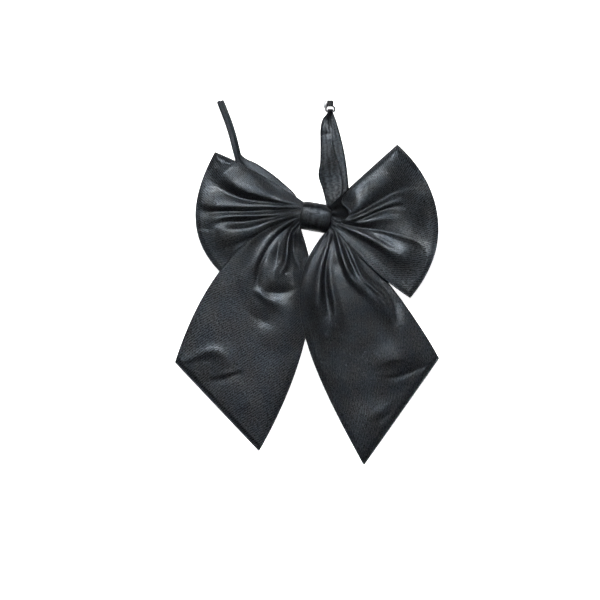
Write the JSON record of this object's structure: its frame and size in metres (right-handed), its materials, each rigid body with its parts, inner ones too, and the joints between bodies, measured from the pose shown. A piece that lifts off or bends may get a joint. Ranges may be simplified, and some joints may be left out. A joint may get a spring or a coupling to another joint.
{
  "type": "bow tie",
  "caption": "Pre-tied satin neck bow with gathered wings, long pointed tails, a wrapped knot and an adjustable hook-and-eye neck strap.",
  "frame": {"origin": "middle of the flat back of the knot, where the bow rests", "axes": "+X to the right as seen from the front, +Y up towards the collar, +Z out of the front of the bow"},
  "size_m": [0.1586, 0.2203, 0.0175],
  "materials": {
    "satin": "black satin, soft sheen",
    "stiffener": "matt non-woven",
    "thread": "black sewing thread",
    "nickel": "nickel plated, satin"
  },
  "bodies": {
    "root": {"knot_band": "satin", "gathered_waist": "satin", "binding_thread": "thread", "knot_seam_stitches": "thread", "long_neck_strap": "satin", "strap_anchor_stitches": "thread", "strap_end_stitches": "thread"},
    "left_wing": {"left_wing_front": "satin", "left_wing_stiffener": "stiffener", "left_wing_back": "satin"},
    "right_wing": {"right_wing_front": "satin", "right_wing_stiffener": "stiffener", "right_wing_back": "satin"},
    "left_tail": {"left_tail_front": "satin", "left_tail_back": "satin"},
    "right_tail": {"right_tail_front": "satin", "right_tail_back": "satin"},
    "short_strap": {"short_neck_strap": "satin", "short_strap_stitches": "thread"},
    "hook": {"clasp_hook": "nickel"},
    "adjuster": {"slide_adjuster": "nickel"},
    "eye": {"clasp_eye": "nickel"}
  },
  "joints": [
    {"name": "left_wing_tilt", "type": "hinge", "parent": "root", "child": "left_wing", "pos_m": [0, 0, 0.0053], "axis": [0, 0, 1], "range_deg": [-6, 6]},
    {"name": "right_wing_tilt", "type": "hinge", "parent": "root", "child": "right_wing", "pos_m": [0, 0, 0.0145], "axis": [0, 0, 1], "range_deg": [-6, 6]},
    {"name": "left_tail_swing", "type": "hinge", "parent": "root", "child": "left_tail", "pos_m": [0, 0, 0.0085], "axis": [0, 0, 1], "range_deg": [-10, 2]},
    {"name": "right_tail_swing", "type": "hinge", "parent": "root", "child": "right_tail", "pos_m": [0, 0, 0.0115], "axis": [0, 0, 1], "range_deg": [-2, 10]},
    {"name": "short_strap_bend", "type": "hinge", "parent": "root", "child": "short_strap", "pos_m": [0.0108, 0.0104, 0.0015], "axis": [1, 0, 0], "range_deg": [-90, 0]},
    {"name": "hook_pivot", "type": "hinge", "parent": "short_strap", "child": "hook", "pos_m": [0.0086, 0.0634, 0.00175], "axis": [1, 0, 0], "range_deg": [-60, 110]},
    {"name": "adjuster_slide", "type": "slide", "parent": "root", "child": "adjuster", "axis": [1, 0, 0], "range_m": [-0.008, 0.013]},
    {"name": "eye_pivot", "type": "hinge", "parent": "root", "child": "eye", "pos_m": [0.037, -0.05, 0.00193], "axis": [0, 1, 0], "range_deg": [-40, 90]}
  ]
}
